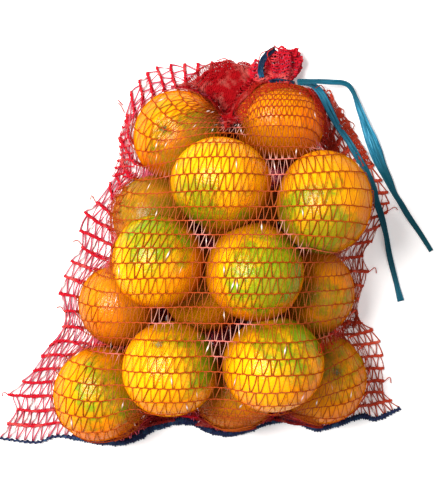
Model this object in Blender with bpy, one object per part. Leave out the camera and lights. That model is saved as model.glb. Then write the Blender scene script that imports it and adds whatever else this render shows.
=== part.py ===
"""A raschel mesh bag of oranges lying on its flat underside, as closed solids.

The bag is the size of a common 35 x 50 cm citrus net. Plan coordinates are millimetres: +X across the
bag, +Y from the sewn hem to the gathered neck, +Z up from the surface the bag lies on. The net is one
solid: a membrane stretched over the fruit, thin empty flaps at its sides, a gathered neck and the
crumpled tuft beyond the tie. The hem seam and the drawstring are solids of their own.
"""

import math

import bpy
import numpy as np

MM = 0.001
CURVE_STEPS = 24  # steps between two of a smooth curve's own points

# ---------------------------------------------------------------- fruit: x, y, radius
LOWER_ORANGES = (
    (-16.8, 89.6, 36.3),
    (64.6, 98.6, 33.6),
    (-36.6, 24.4, 33.4),
    (-64.8, -46.9, 32.8),
    (-79.2, -117.3, 37.9),
    (28.8, -113.6, 33.4),
    (99.0, -105.4, 35.5),
    (90.5, -35.6, 34.9),
    (4.6, -31.9, 32.3),
    (100.7, 34.0, 31.0),
    (29.7, 30.0, 31.0),
)
UPPER_ORANGES = (
    (17.2, 47.8, 36.2),
    (94.2, 33.6, 36.7),
    (-30.2, -10.4, 35.0),
    (42.8, -18.6, 37.2),
    (-21.2, -92.4, 36.4),
    (56.4, -87.8, 37.0),
)

# ---------------------------------------------------------------- net
NET_CLEARANCE = 1.0  # net surface outside the fruit
FLAP_THICKNESS = 1.6  # two layers of net where the bag is empty
FLAP_REACH = 7.0  # the net meets the surface this far outside the fruit
MEMBRANE_CELL = 3.0
MEMBRANE_ROUNDS = 260
MEMBRANE_WEIGHT = 0.36  # how far one cell of net sags between its neighbours
SMOOTHING_ROUNDS = 4  # of the settled membrane, which round its creases
NET_COLUMNS = 42
ROWS_LOWER, ROWS_MIDDLE, ROWS_SHOULDER = 20, 17, 10
HEM_FOLLOWS = 0.3  # share of the rows that still follow the hem's waves

HEM_LINE = (
    (-168.0, -160.0), (-137.0, -163.3), (-118.0, -158.2), (-79.0, -163.5), (-58.0, -161.5),
    (-37.0, -150.0), (-11.0, -145.6), (13.0, -155.0), (33.0, -155.0), (60.0, -145.8),
    (80.0, -145.2), (100.0, -151.6), (135.0, -141.5), (147.0, -143.8), (168.0, -134.8),
)
LEFT_LOWER = (
    (-168.0, -160.0), (-151.0, -131.0), (-157.0, -123.0), (-140.0, -103.5), (-126.0, -83.0),
    (-111.0, -66.5), (-118.0, -38.0), (-108.5, -10.5), (-98.5, 1.5),
)
LEFT_MIDDLE = (
    (-98.5, 1.5), (-100.5, 12.0), (-96.5, 30.0), (-75.5, 55.0), (-65.5, 76.0), (-68.0, 93.0),
    (-58.0, 131.5),
)
LEFT_SHOULDER = (
    (-58.0, 131.5), (-48.0, 145.0), (-13.0, 156.5), (10.0, 156.5), (31.0, 144.0), (57.0, 132.6),
)
RIGHT_LOWER = (
    (168.0, -134.8), (165.5, -125.5), (155.0, -113.0), (152.0, -78.5), (133.0, -62.0),
    (132.0, -45.8), (143.0, -19.7), (132.0, -1.0),
)
RIGHT_MIDDLE = (
    (132.0, -1.0), (149.0, 9.0), (159.5, 36.0), (144.5, 78.5), (108.5, 132.0),
)
RIGHT_SHOULDER = ((108.5, 132.0), (93.0, 133.5), (77.0, 132.6))

# ---------------------------------------------------------------- hem seam
HEM_WIDTH = 5.2
HEM_HEIGHT = 2.8
HEM_GAP = 1.0
HEM_SECTIONS = 84
HEM_UNEVEN = 0.1  # share of the height that its stitches rise and fall by
HEM_STITCH_TURN = 1.9  # radians of that rise and fall from one section to the next
HEM_PROFILE = (  # across and up, as shares of the width and height
    (-0.34, 0.0), (0.34, 0.0), (0.5, 0.22), (0.5, 0.68), (0.3, 1.0), (-0.3, 1.0), (-0.5, 0.68),
    (-0.5, 0.22),
)

# ---------------------------------------------------------------- neck and tuft
NECK_X = 67.0
NECK_HALF_WIDTH = 10.0
NECK_HALF_HEIGHT = 7.0
NECK_HEIGHT = 14.0
NECK_BLEND_ROWS = 5
TUFT_RINGS = (  # y, left x, right x, half height
    (138.5, 57.0, 77.0, 7.0),
    (141.0, 54.0, 79.0, 8.0),
    (144.5, 47.5, 82.0, 9.5),
    (149.0, 43.5, 83.5, 10.5),
    (153.5, 44.5, 84.0, 10.5),
    (158.0, 50.5, 84.0, 10.0),
    (162.0, 57.5, 82.0, 8.0),
    (165.0, 62.5, 77.0, 4.5),
)
TUFT_PLEATS = 11
TUFT_LIFT = 1.2  # of a ring's lowest point, before its pleats
TUFT_SETTLES = 3  # the ring by which the tuft has come down from the neck's height
TUFT_PLEAT_DEPTH = 0.11
TUFT_TIP_Y = 166.0

# ---------------------------------------------------------------- drawstring
WRAP_Y = 135.6
WRAP_WIDTH = 4.6
WRAP_THICKNESS = 1.2
WRAP_STEPS = 40
PIECE_GAP = 0.4
LOOP_WIDTH = 5.5
LOOP_THICKNESS = 1.4
LOOP_SECTIONS = 9
LOOP_ROUTE = (
    (63.0, 163.8, 19.4), (59.0, 160.5, 22.2), (53.5, 155.0, 24.6), (48.5, 147.0, 22.4),
)
TAIL_A_WIDTH = 8.0
TAIL_A_ROUTE = (
    (80.6, 135.6, 22.6), (85.5, 136.2, 21.4), (91.0, 136.6, 19.6), (97.5, 136.8, 17.6),
    (104.0, 137.0, 15.6), (111.0, 137.0, 13.7), (118.0, 136.9, 12.0), (123.5, 135.0, 10.5),
    (127.5, 130.0, 9.3), (130.5, 123.0, 8.4), (133.5, 115.0, 7.6), (136.8, 107.0, 7.2),
    (142.5, 92.0, 7.0), (150.2, 72.0, 7.0), (157.0, 57.5, 7.0), (162.8, 45.0, 6.6),
    (168.0, 37.0, 5.8), (174.8, 26.2, 5.0), (184.0, 12.8, 4.6), (189.8, 3.8, 4.6),
    (194.0, -3.0, 4.6),
)
TAIL_B_WIDTH = 7.0
TAIL_B_ROUTE = (
    (81.0, 136.4, 13.0), (86.5, 136.8, 11.8), (92.5, 135.4, 10.4), (98.5, 131.0, 9.2),
    (103.6, 123.8, 8.6), (107.9, 115.0, 8.0), (112.7, 105.9, 7.2), (117.6, 98.0, 6.5),
    (123.3, 90.2, 6.1), (131.0, 77.6, 6.0), (138.2, 64.4, 6.0), (144.8, 50.2, 6.0),
    (147.4, 39.4, 6.0), (151.5, 27.0, 6.0), (155.0, 13.6, 5.4), (159.2, -8.0, 4.2),
    (164.2, -28.0, 4.0), (168.5, -45.0, 4.0),
)
TAIL_POINTS = 26

# ---------------------------------------------------------------- colours
NET_RED = (0.50, 0.035, 0.04, 1.0)
HEM_NAVY = (0.02, 0.025, 0.09, 1.0)
TAPE_TEAL = (0.02, 0.22, 0.32, 1.0)


def clear_scene():
    for thing in list(bpy.data.objects):
        bpy.data.objects.remove(thing)


def material(name, color, roughness):
    made = bpy.data.materials.new(name)
    made.use_nodes = True
    shader = made.node_tree.nodes["Principled BSDF"]
    shader.inputs["Base Color"].default_value = color
    shader.inputs["Roughness"].default_value = roughness
    shader.inputs["Metallic"].default_value = 0.0
    return made


def smooth_curve(points, count):
    """count points, evenly spaced, along the Catmull-Rom curve through the given points."""
    knots = np.array(points, float)
    ends = np.vstack([2 * knots[0] - knots[1], knots, 2 * knots[-1] - knots[-2]])
    t = np.linspace(0.0, 1.0, CURVE_STEPS, endpoint=False)[:, None]
    spans = []
    for k in range(len(knots) - 1):
        a, b, c, d = ends[k : k + 4]
        spans.append(
            0.5 * (2 * b + (c - a) * t + (2 * a - 5 * b + 4 * c - d) * t**2
                   + (3 * b - a - 3 * c + d) * t**3)
        )
    line = np.vstack([*spans, knots[-1:]])
    run = np.concatenate([[0.0], np.cumsum(np.linalg.norm(np.diff(line, axis=0), axis=1))])
    wanted = np.linspace(0.0, run[-1], count)
    return np.stack([np.interp(wanted, run, line[:, k]) for k in range(line.shape[1])], axis=1)


def joined(pieces, rows):
    """One side of the bag from hem to neck: each stretch gets its own number of net rows."""
    runs = [smooth_curve(piece, count + 1) for piece, count in zip(pieces, rows)]
    return np.vstack([runs[0], *(run[1:] for run in runs[1:])])


def settled_oranges():
    """x, y, z, radius of every orange: the lower ones lie on the surface, the others on them."""
    placed = [(x, y, r, r) for x, y, r in LOWER_ORANGES]
    for x, y, r in UPPER_ORANGES:
        height = r
        for bx, by, bz, br in placed[: len(LOWER_ORANGES)]:
            away = math.hypot(x - bx, y - by)
            if away < r + br:
                height = max(height, bz + math.sqrt((r + br) ** 2 - away**2))
        placed.append((x, y, height, r))
    return np.array(placed)


def inside_outline(x, y, outline):
    """True where a grid point lies inside the closed outline, by counting edge crossings."""
    crossings = np.zeros(x.shape, int)
    for (ax, ay), (bx, by) in zip(outline, np.roll(outline, -1, axis=0)):
        if ay == by:
            continue
        spans = (ay <= y) != (by <= y)
        at = ax + (y - ay) * (bx - ax) / (by - ay)
        crossings += spans & (at > x)
    return crossings % 2 == 1


def net_height(outline):
    """A function of x and y: the height of the net's upper sheet.

    The sheet starts on the fruit and every free cell settles to the mean of its four neighbours, less
    a little for its weight, but never below the fruit. It is held down on the surface outside the
    outline and FLAP_REACH beyond the fruit, and its creases are rounded at the end.
    """
    oranges = settled_oranges()
    low, high = outline.min(0) - 12.0, outline.max(0) + 12.0
    xs = np.arange(low[0], high[0], MEMBRANE_CELL)
    ys = np.arange(low[1], high[1], MEMBRANE_CELL)
    x, y = np.meshgrid(xs, ys, indexing="ij")
    fruit = np.zeros(x.shape)
    gap = np.full(x.shape, 1e3)
    for cx, cy, cz, r in oranges:
        away = np.hypot(x - cx, y - cy)
        skin = r + NET_CLEARANCE
        over = np.sqrt(np.maximum(skin**2 - away**2, 0.0))
        fruit = np.maximum(fruit, np.where(away < skin, cz + over, 0.0))
        gap = np.minimum(gap, away - skin)
    free = inside_outline(x, y, outline) & (gap < FLAP_REACH)
    height = fruit.copy()
    for _ in range(MEMBRANE_ROUNDS):
        mean = np.zeros(x.shape)
        mean[1:-1, 1:-1] = 0.25 * (
            height[2:, 1:-1] + height[:-2, 1:-1] + height[1:-1, 2:] + height[1:-1, :-2]
        )
        height = np.where(free, np.maximum(fruit, mean - MEMBRANE_WEIGHT), 0.0)
    for _ in range(SMOOTHING_ROUNDS):
        padded = np.pad(height, 1, mode="edge")
        around = padded[2:, 1:-1] + padded[:-2, 1:-1] + padded[1:-1, 2:] + padded[1:-1, :-2]
        height = np.maximum(0.5 * height + 0.125 * around, fruit)
    height = np.maximum(height, FLAP_THICKNESS)

    def read(px, py):
        i = np.clip((px - xs[0]) / MEMBRANE_CELL, 0, len(xs) - 1.001)
        j = np.clip((py - ys[0]) / MEMBRANE_CELL, 0, len(ys) - 1.001)
        i0, j0 = i.astype(int), j.astype(int)
        fi, fj = i - i0, j - j0
        return (
            height[i0, j0] * (1 - fi) * (1 - fj) + height[i0 + 1, j0] * fi * (1 - fj)
            + height[i0, j0 + 1] * (1 - fi) * fj + height[i0 + 1, j0 + 1] * fi * fj
        )

    return read


def hem_edge():
    """The net's own end, set back from the middle of the hem seam by half its width and a gap."""
    line = smooth_curve(HEM_LINE, NET_COLUMNS + 1)
    along = np.gradient(line, axis=0)
    inward = np.stack([-along[:, 1], along[:, 0]], axis=1)
    inward /= np.linalg.norm(inward, axis=1)[:, None]
    return line + inward * (HEM_WIDTH / 2 + HEM_GAP)


def ring_angles():
    """Angles of a ring's upper points, from the left rim over the top to the right rim."""
    count = NET_COLUMNS + 1
    return np.pi * (1 - (np.arange(count) + 0.5) / count)


def body_rows():
    """The bag from hem to neck, one closed ring a row: the upper sheet's points, then the lower's back.

    A row runs straight from the left side to the right one, bent near the hem to the hem's waves. The
    last rows turn, by a growing share, from the membrane's height to the oval of the neck.
    """
    rows = (ROWS_LOWER, ROWS_MIDDLE, ROWS_SHOULDER)
    left = joined((LEFT_LOWER, LEFT_MIDDLE, LEFT_SHOULDER), rows)
    right = joined((RIGHT_LOWER, RIGHT_MIDDLE, RIGHT_SHOULDER), rows)
    hem = hem_edge()
    left[0], right[0] = hem[0], hem[-1]
    angle = ring_angles()
    u = np.linspace(0.0, 1.0, NET_COLUMNS + 1)[None, :]
    v = np.linspace(0.0, 1.0, len(left))[:, None]
    neck = np.zeros((len(left), 1))
    neck[-NECK_BLEND_ROWS:, 0] = np.linspace(0.0, 1.0, NECK_BLEND_ROWS + 1)[1:] ** 1.5
    across = ((1 - neck) * u + neck * (0.5 + 0.5 * np.cos(angle)))[..., None]
    plan = left[:, None] * (1 - across) + right[:, None] * across
    wave = hem[None] - plan[:1]
    plan = plan + wave * np.clip(1 - v / HEM_FOLLOWS, 0.0, 1.0)[..., None] ** 2
    outline = np.vstack([plan[:, 0], plan[::-1, -1], plan[0, ::-1]])
    upper = net_height(outline)(plan[..., 0], plan[..., 1])
    upper[0], upper[:, 0], upper[:, -1] = FLAP_THICKNESS, FLAP_THICKNESS, FLAP_THICKNESS
    swell = NECK_HALF_HEIGHT * np.sin(angle)
    upper = (1 - neck) * upper + neck * (NECK_HEIGHT + swell)
    lower = neck * (NECK_HEIGHT - swell)
    return np.concatenate([np.dstack([plan, upper]), np.dstack([plan, lower])[:, ::-1]], axis=1)


def oval(center, half_width, half_height, pleat=0.0):
    """A ring across Y in the order of a body row: left to right over the top, then back beneath."""
    angle = np.concatenate([ring_angles(), -ring_angles()[::-1]])
    swell = 1 + pleat * np.cos(TUFT_PLEATS * angle + 0.6 * np.sin(3 * angle))
    ring = np.empty((len(angle), 3))
    ring[:, 0] = center[0] + half_width * swell * np.cos(angle)
    ring[:, 1] = center[1]
    ring[:, 2] = center[2] + half_height * swell * np.sin(angle)
    return ring


def tuft_rings():
    """Rings from the tie to the tip of the tuft, resting on the surface."""
    rings = []
    for k, (y, left, right, half_height) in enumerate(TUFT_RINGS):
        deep = 0.0 if k == 0 else TUFT_PLEAT_DEPTH
        height = NECK_HEIGHT + (half_height + TUFT_LIFT - NECK_HEIGHT) * min(1.0, k / TUFT_SETTLES)
        ring = oval(((left + right) / 2, y, height), (right - left) / 2, half_height, deep)
        ring[:, 2] = np.maximum(ring[:, 2], 0.0)
        rings.append(ring)
    return np.array(rings)


def tube_mesh(name, rings, tip=None, hem_end=False):
    """A closed mesh of rings joined by quads. The first ring is filled, by a strip between its two
    sheets where it is the hem end, and the last is filled or drawn to a tip."""
    count, around = rings.shape[:2]
    ids = np.arange(count * around).reshape(count, around)
    after = np.roll(ids, -1, axis=1)
    faces = np.stack([ids[:-1], after[:-1], after[1:], ids[1:]], axis=-1).reshape(-1, 4).tolist()
    points = rings.reshape(-1, 3).tolist()
    if hem_end:
        top, bottom = ids[0, : around // 2], ids[0, : around // 2 - 1 : -1]
        faces += np.stack([top[:-1], bottom[:-1], bottom[1:], top[1:]], axis=-1).tolist()
    else:
        faces.append(ids[0, ::-1].tolist())
    if tip is not None:
        points.append(list(tip))
        last = len(points) - 1
        faces += [[a, b, last] for a, b in zip(ids[-1].tolist(), after[-1].tolist())]
    else:
        faces.append(ids[-1].tolist())
    mesh = bpy.data.meshes.new(name)
    mesh.from_pydata([[c * MM for c in p] for p in points], [], faces)
    return mesh


def add_object(name, mesh, finish):
    mesh.materials.append(finish)
    made = bpy.data.objects.new(name, mesh)
    bpy.context.scene.collection.objects.link(made)
    return made


def make_net(finish):
    tuft = tuft_rings()
    rings = np.concatenate([body_rows(), tuft])
    middle = tuft[-1].mean(axis=0)
    mesh = tube_mesh("net_bag", rings, tip=(middle[0], TUFT_TIP_Y, middle[2]), hem_end=True)
    return add_object("net_bag", mesh, finish)


def make_hem(finish):
    """A flat-bottomed rounded strip carried along the hem line, a little uneven like its stitching."""
    line = smooth_curve(HEM_LINE, HEM_SECTIONS)
    along = np.gradient(line, axis=0)
    side = np.stack([-along[:, 1], along[:, 0]], axis=1)
    side /= np.linalg.norm(side, axis=1)[:, None]
    profile = np.array(HEM_PROFILE)
    uneven = 1 - HEM_UNEVEN * (0.5 + 0.5 * np.sin(np.arange(HEM_SECTIONS) * HEM_STITCH_TURN))
    rings = np.empty((HEM_SECTIONS, len(profile), 3))
    rings[..., :2] = line[:, None] + side[:, None] * (profile[None, :, :1] * HEM_WIDTH)
    rings[..., 2] = profile[None, :, 1] * HEM_HEIGHT * uneven[:, None]
    return add_object("hem_seam", tube_mesh("hem_seam", rings), finish)


def make_wrap(finish):
    """The turn of flat tape that ties the neck: a band between two ovals."""
    angle = np.linspace(0.0, 2 * np.pi, WRAP_STEPS, endpoint=False)
    corners = (
        (PIECE_GAP, -WRAP_WIDTH / 2), (PIECE_GAP, WRAP_WIDTH / 2),
        (PIECE_GAP + WRAP_THICKNESS, WRAP_WIDTH / 2), (PIECE_GAP + WRAP_THICKNESS, -WRAP_WIDTH / 2),
    )
    rings = np.empty((len(angle), len(corners), 3))
    for k, (out, along) in enumerate(corners):
        rings[:, k, 0] = NECK_X + (NECK_HALF_WIDTH + out) * np.cos(angle)
        rings[:, k, 1] = WRAP_Y + along
        rings[:, k, 2] = NECK_HEIGHT + (NECK_HALF_HEIGHT + out) * np.sin(angle)
    ids = np.arange(rings.shape[0] * 4).reshape(-1, 4)
    after = np.roll(ids, -1, axis=0)
    faces = [
        [int(ids[i, k]), int(after[i, k]), int(after[i, (k + 1) % 4]), int(ids[i, (k + 1) % 4])]
        for i in range(len(angle)) for k in range(4)
    ]
    mesh = bpy.data.meshes.new("drawstring_wrap")
    mesh.from_pydata((rings.reshape(-1, 3) * MM).tolist(), [], faces)
    return add_object("drawstring_wrap", mesh, finish)


def make_loop(finish):
    """The short run of the tape that lies over the tuft's left shoulder."""
    line = smooth_curve(LOOP_ROUTE, LOOP_SECTIONS)
    along = np.gradient(line, axis=0)
    side = np.stack([-along[:, 1], along[:, 0], np.zeros(len(line))], axis=1)
    side /= np.linalg.norm(side, axis=1)[:, None]
    rings = np.empty((len(line), 4, 3))
    half, thick = LOOP_WIDTH / 2, LOOP_THICKNESS / 2
    for k, (across, up) in enumerate(((-half, -thick), (half, -thick), (half, thick), (-half, thick))):
        rings[:, k] = line + side * across + np.array([0.0, 0.0, up])
    return add_object("drawstring_loop", tube_mesh("drawstring_loop", rings), finish)


def make_tail(name, route, width, finish):
    """A free end of the drawstring as a plain round tube along its route."""
    points = smooth_curve(route, TAIL_POINTS) * MM
    curve = bpy.data.curves.new(name, "CURVE")
    curve.dimensions = "3D"
    curve.bevel_depth = width / 2 * MM
    curve.bevel_resolution = 2
    curve.use_fill_caps = True
    spline = curve.splines.new("POLY")
    spline.points.add(len(points) - 1)
    for spot, place in zip(spline.points, points):
        spot.co = (*place, 1.0)
    curve.materials.append(finish)
    made = bpy.data.objects.new(name, curve)
    bpy.context.scene.collection.objects.link(made)
    return made


def main():
    clear_scene()
    make_net(material("net_thread_red", NET_RED, 0.55))
    make_hem(material("hem_thread_navy", HEM_NAVY, 0.7))
    make_wrap(material("tape_teal_wrap", TAPE_TEAL, 0.35))
    make_loop(material("tape_teal_loop", TAPE_TEAL, 0.35))
    make_tail("drawstring_tail_a", TAIL_A_ROUTE, TAIL_A_WIDTH, material("tape_teal_a", TAPE_TEAL, 0.35))
    make_tail("drawstring_tail_b", TAIL_B_ROUTE, TAIL_B_WIDTH, material("tape_teal_b", TAPE_TEAL, 0.35))


main()
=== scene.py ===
import math

import bpy
import numpy as np
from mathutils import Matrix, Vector


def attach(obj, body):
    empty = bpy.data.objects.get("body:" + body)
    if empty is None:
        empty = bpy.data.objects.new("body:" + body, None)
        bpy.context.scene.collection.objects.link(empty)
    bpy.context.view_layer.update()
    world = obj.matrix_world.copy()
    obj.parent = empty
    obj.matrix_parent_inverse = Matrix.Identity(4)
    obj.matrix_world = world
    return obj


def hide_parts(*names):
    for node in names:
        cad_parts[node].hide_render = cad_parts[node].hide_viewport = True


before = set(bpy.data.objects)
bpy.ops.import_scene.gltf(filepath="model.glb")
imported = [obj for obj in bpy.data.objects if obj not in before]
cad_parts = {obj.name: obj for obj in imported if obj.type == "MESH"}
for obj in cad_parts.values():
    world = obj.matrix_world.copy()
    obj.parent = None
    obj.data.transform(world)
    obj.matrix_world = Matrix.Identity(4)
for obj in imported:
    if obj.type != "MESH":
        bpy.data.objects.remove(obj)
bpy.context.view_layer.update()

# Plan sizes are millimetres in the part's own frame; meshes are written in metres.
MM = 0.001
SEED = 20
rng = np.random.default_rng(SEED)
UP = np.array([0.0, 0.0, 1.0])
FLIPPED = [0, 3, 2, 1]  # the order of corners that turns a quad over

# ---- view
EYE = (14.7, 0, 900)
VIEW_HEIGHT = 415.8  # how much of the surface the view takes in, bottom to top
SENSOR = 24
LIGHT_AIM = (0.0, 0.0, 0.05)  # metres, as are the floor's sizes
FLOOR_HALF, FLOOR_TOP = 9.0, -0.0004

# ---- fruit
# x, y, radius, flatness, warmth, share of painted shadow (darker, browner peel), green, direction of the
# green side, direction of the stem
LOWER_ORANGES = (
    (-16.8, 89.6, 36.3, 0.03, 0.80, 0.00, 0.85, (0.42, -0.08, 0.90), (-0.30, 0.07, 0.95)),
    (64.6, 99.8, 34.1, 0.165, 0.80, 0.00, 0.10, (0.2, -0.8, 0.6), (0.2, 0.95, -0.2)),
    (-36.6, 24.4, 33.4, 0.04, 0.70, 0.70, 0.85, (-0.2, 0.3, 0.9), (-0.7, 0.2, -0.6)),
    (-64.8, -46.9, 32.8, 0.05, 0.86, 0.48, 0.00, (0, 0, 1), (-0.6, -0.6, -0.5)),
    (-79.2, -117.3, 37.9, 0.04, 0.62, 0.05, 0.78, (0.40, 0.05, 0.90), (-0.5, 0.6, -0.5)),
    (28.8, -111.5, 34.5, 0.05, 0.74, 0.60, 0.35, (-0.3, 0.2, 0.9), (0.2, -0.5, -0.8)),
    (99, -105.4, 35.5, 0.05, 0.60, 0.25, 0.60, (0.3, 0.4, 0.8), (0.26, 0.26, 0.93)),
    (90.5, -35.6, 34.9, 0.05, 0.70, 0.30, 0.70, (0.3, -0.5, 0.8), (0.8, 0.1, -0.5)),
    (4.6, -33.5, 34, 0.05, 0.38, 0.00, 0.10, (0, 0, 1), (0.1, -0.3, -0.9)),
    (99, 33, 32.6, 0.05, 0.60, 0.50, 0.10, (0, 0, 1), (0.4, 0.2, -0.9)),
    (31.5, 30, 32.6, 0.05, 0.60, 0.50, 0.10, (0, 0, 1), (0.2, 0.4, -0.9)),
)
UPPER_ORANGES = (
    (17.2, 47.8, 36.2, 0.10, 0.26, 0.00, 1.00, (-0.5, -0.80, 0.42), (0.1, 0.9, -0.4)),
    (94.2, 33.6, 36.7, -0.10, 0.38, 0.28, 1.02, (-0.35, -0.60, 0.70), (0.2, 0.95, -0.2)),
    (-30.2, -10.4, 35, 0.04, 0.30, 0.00, 1.00, (-0.15, 0.85, 0.62), (-0.6, -0.3, -0.7)),
    (42.8, -18.6, 37.2, 0.04, 0.34, 0.05, 1.06, (0.30, 0.10, 0.95), (0.3, -0.6, -0.7)),
    (-21.2, -92.4, 36.4, 0.04, 0.28, 0.00, 0.95, (0.80, 0.42, 0.43), (-0.22, 0.62, 0.75)),
    (56.4, -87.8, 37, 0.12, 0.30, 0.00, 1.00, (0.45, 0.80, 0.5), (0.15, -0.9, -0.4)),
)
FRUIT_LIFT = 0.9  # of the lower oranges' undersides, for the net beneath them

# ---- net
ROW_PITCH = 12
COLUMN_PITCH = 8
COLUMNS = 50
ROWS = 34
FINE_ROWS, FINE_COLUMNS = 3, 2
NET_CLEARANCE = 0.7
FLAP_TOP = 1.9  # how high the upper sheet lies in the flaps
FLAP_REACH = 7  # how far from the fruit they start
CELL, CELL_WEIGHT, SETTLE_ROUNDS = 2.5, 0.03, 300  # of the grid that the sheet is draped on
LIFT_SHARE = 0.35  # of a drop that counts as length
LEG_SHARE = 0.14  # of a leg, how far beside a leg's end the next one starts

HEM_LINE = (
    (-168, -160), (-137, -163.3), (-118, -158.2), (-79, -163.5), (-58, -161.5), (-37, -150), (-11, -145.6),
    (13, -155), (33, -155), (60, -145.8), (80, -145.2), (100, -151.6), (135, -141.5), (147, -143.8),
    (168, -134.8),
)
# Each a share of the way along the hem from its left end, and the value there.
HEM_HALF_WIDTHS = (
    (0, 0.7), (0.14, 0.9), (0.2, 1.8), (0.3, 2.2), (0.36, 3.3), (0.44, 2.9), (0.5, 2.2), (0.7, 2),
    (0.85, 2.2), (1, 1.3),
)
STITCH_PITCHES = ((0, 4.4), (0.16, 4.4), (0.2, 2.1), (0.92, 2.1), (1, 3.4))
HEM_SET_BACK = 1.2
TURNED_EDGE = 5.5  # half the width of the net's folded end
TURNED_FROM, TURNED_TO = -90, 110  # the stretch of the hem, in x, where it shows
# Painted shade: the lower threads are widened in the valleys so that they hide the floor and the gaps read
# dark.
GAP_COVER_WIDER = 5.5  # how much wider the lower threads lie in the valleys between the fruit
DRAWN_FROM, DRAWN_OVER = 14, 14  # the height up to which it is loose, and how much higher it is tight
LOWEST = 0.1  # of any thread above the floor
# Where the net's rows end on the two side folds, from the hem to the neck.
LEFT_ENDS = (
    (-168, -160), (-161.7, -147.9), (-153.3, -135.3), (-161, -123.6), (-149.1, -111.9), (-139.9, -103.5),
    (-133.2, -90.9), (-126.5, -82.5), (-111, -66.6), (-113.1, -54.1), (-118.4, -38.1), (-113.9, -23.9),
    (-108.1, -10.5), (-98.5, 1.3), (-100.9, 14.7), (-97.2, 29.7), (-87.1, 37.3), (-75.4, 54.9),
    (-70.4, 62.4), (-65.5, 74.2), (-67.8, 92.6), (-62, 111.9), (-57.8, 131.1), (-51.1, 140.4),
    (-44.4, 147.1), (-36, 151.9), (-24.3, 153.8), (-13, 154.4), (-1.5, 154.9), (10.1, 156.2), (22.5, 151),
    (31.9, 144.6), (40.4, 139.4), (49, 135), (57, 132.6),
)
RIGHT_ENDS = (
    (168, -134.8), (160.9, -128.5), (153.6, -120.8), (154, -112.5), (154.2, -100.7), (153.4, -89.8),
    (150.9, -78), (144.9, -68.5), (135.4, -63.9), (130.6, -57), (132.4, -45.7), (137.1, -32.2),
    (141.8, -19.9), (134.6, -5.4), (144.4, 5.1), (151, 18.5), (157.6, 30.3), (158.8, 38.1), (157.8, 46.3),
    (152.7, 56.2), (145.5, 69.9), (138.3, 80.8), (131.5, 94.4), (124.3, 106), (117.2, 116.9), (110, 128.8),
    (103, 132.2), (98, 133.2), (94, 133.4), (91, 133.4), (88, 133.3), (85.4, 133.1), (82.6, 133),
    (79.8, 132.8), (77, 132.6),
)
# Where the rows cross two lines up the bag: the line's x, how far it draws the rows, how far it draws
# those above GATHER_ROW, its first row, and the y of that row and the following ones.
SPINES = (
    (22, 42, 13, 0, (-155, -142.5, -131.3, -122, -113.6, -103.6, -91, -80, -69, -55.6, -43.4, -33.2, -21.5,
      -10.5, 0.1, 9.5, 20.2, 29.5, 40.8, 53.3, 64.6, 76, 85.5, 91.5, 96, 100.5, 104.5, 108.5, 113)),
    (64, 16, 16, 21, (75, 83.8, 93.7, 102.6, 109.4, 114.5, 118.5, 122, 125, 127.4, 129.2, 130.6, 131.6)),
)
SPINE_PULL = 0.25
GATHER_ROW = 21.5

# Parts where the net is gathered: left line, right line, bulge, rows, columns, layers, crumple.
GATHERS = {
    "neck": (((21.7, 89.8), (16.7, 104.5), (6.9, 119.3), (-6.2, 127.5), (-16, 130.5), (-24, 136.5)),
      ((23.3, 89.8), (29.9, 106.2), (38.1, 117.7), (46.3, 125.9), (51.2, 131), (54, 134)),
      19, 17, 28, 5, 2.2),
    "crown": (((27, 98), (33, 111), (42, 121.5), (54, 128.5), (68, 131), (80, 129.5), (88, 124)),
      ((33, 96), (39.5, 108), (48, 116.5), (58, 122), (68, 124), (78, 122.5), (85, 118)), 0, 19, 2, 2, 1),
    "shoulder": (((98, 79), (94, 96), (90, 112), (86, 125)),
      ((119, 80), (111, 94), (103, 108), (93, 125)), 0, 10, 8, 2, 1.2),
    "right_fold": (((136, 70), (124.5, 90), (113, 108), (100, 128)),
      ((143.5, 71), (131, 94), (117, 116.5), (103, 131)), 0, 14, 3, 2, 0.9),
    "left_fold": (((-73, 60), (-66.5, 76), (-68, 93), (-62.5, 112)),
      ((-56, 63), (-55, 78), (-57, 94), (-54, 112)), 0, 9, 3, 1, 0.9),
    "left_side": (((-72, -20), (-73, 0), (-75, 20), (-72, 40), (-66, 60)),
      ((-60, -20), (-62, 0), (-62, 20), (-59, 40), (-50, 60)), 0, 12, 4, 2, 1.1),
    "right_waist": (((90, -79), (104, -75), (118, -70), (131, -66.5)),
      ((90, -72), (103, -65), (116, -60), (130, -58.5)), 0, 10, 2, 2, 1),
    "hem_left": (((-68, -153), (-62, -140), (-54, -128)),
      ((-20, -144), (-24, -138), (-32, -130)), 0, 5, 10, 2, 1),
    "hem_middle": (((-6, -142), (-4, -134), (2, -127)),
      ((60, -144), (56, -136), (50, -128)), 0, 4, 13, 1, 1),
    "hem_dip": (((-4, -148), (-2, -144), (0, -139)),
      ((46, -149), (44, -145), (42, -140)), -4, 4, 11, 2, 0.8),
    "hem_right": (((58, -143), (62, -136), (70, -127)),
      ((102, -149), (98, -142), (90, -135)), 0, 4, 9, 2, 1),
}

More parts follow.
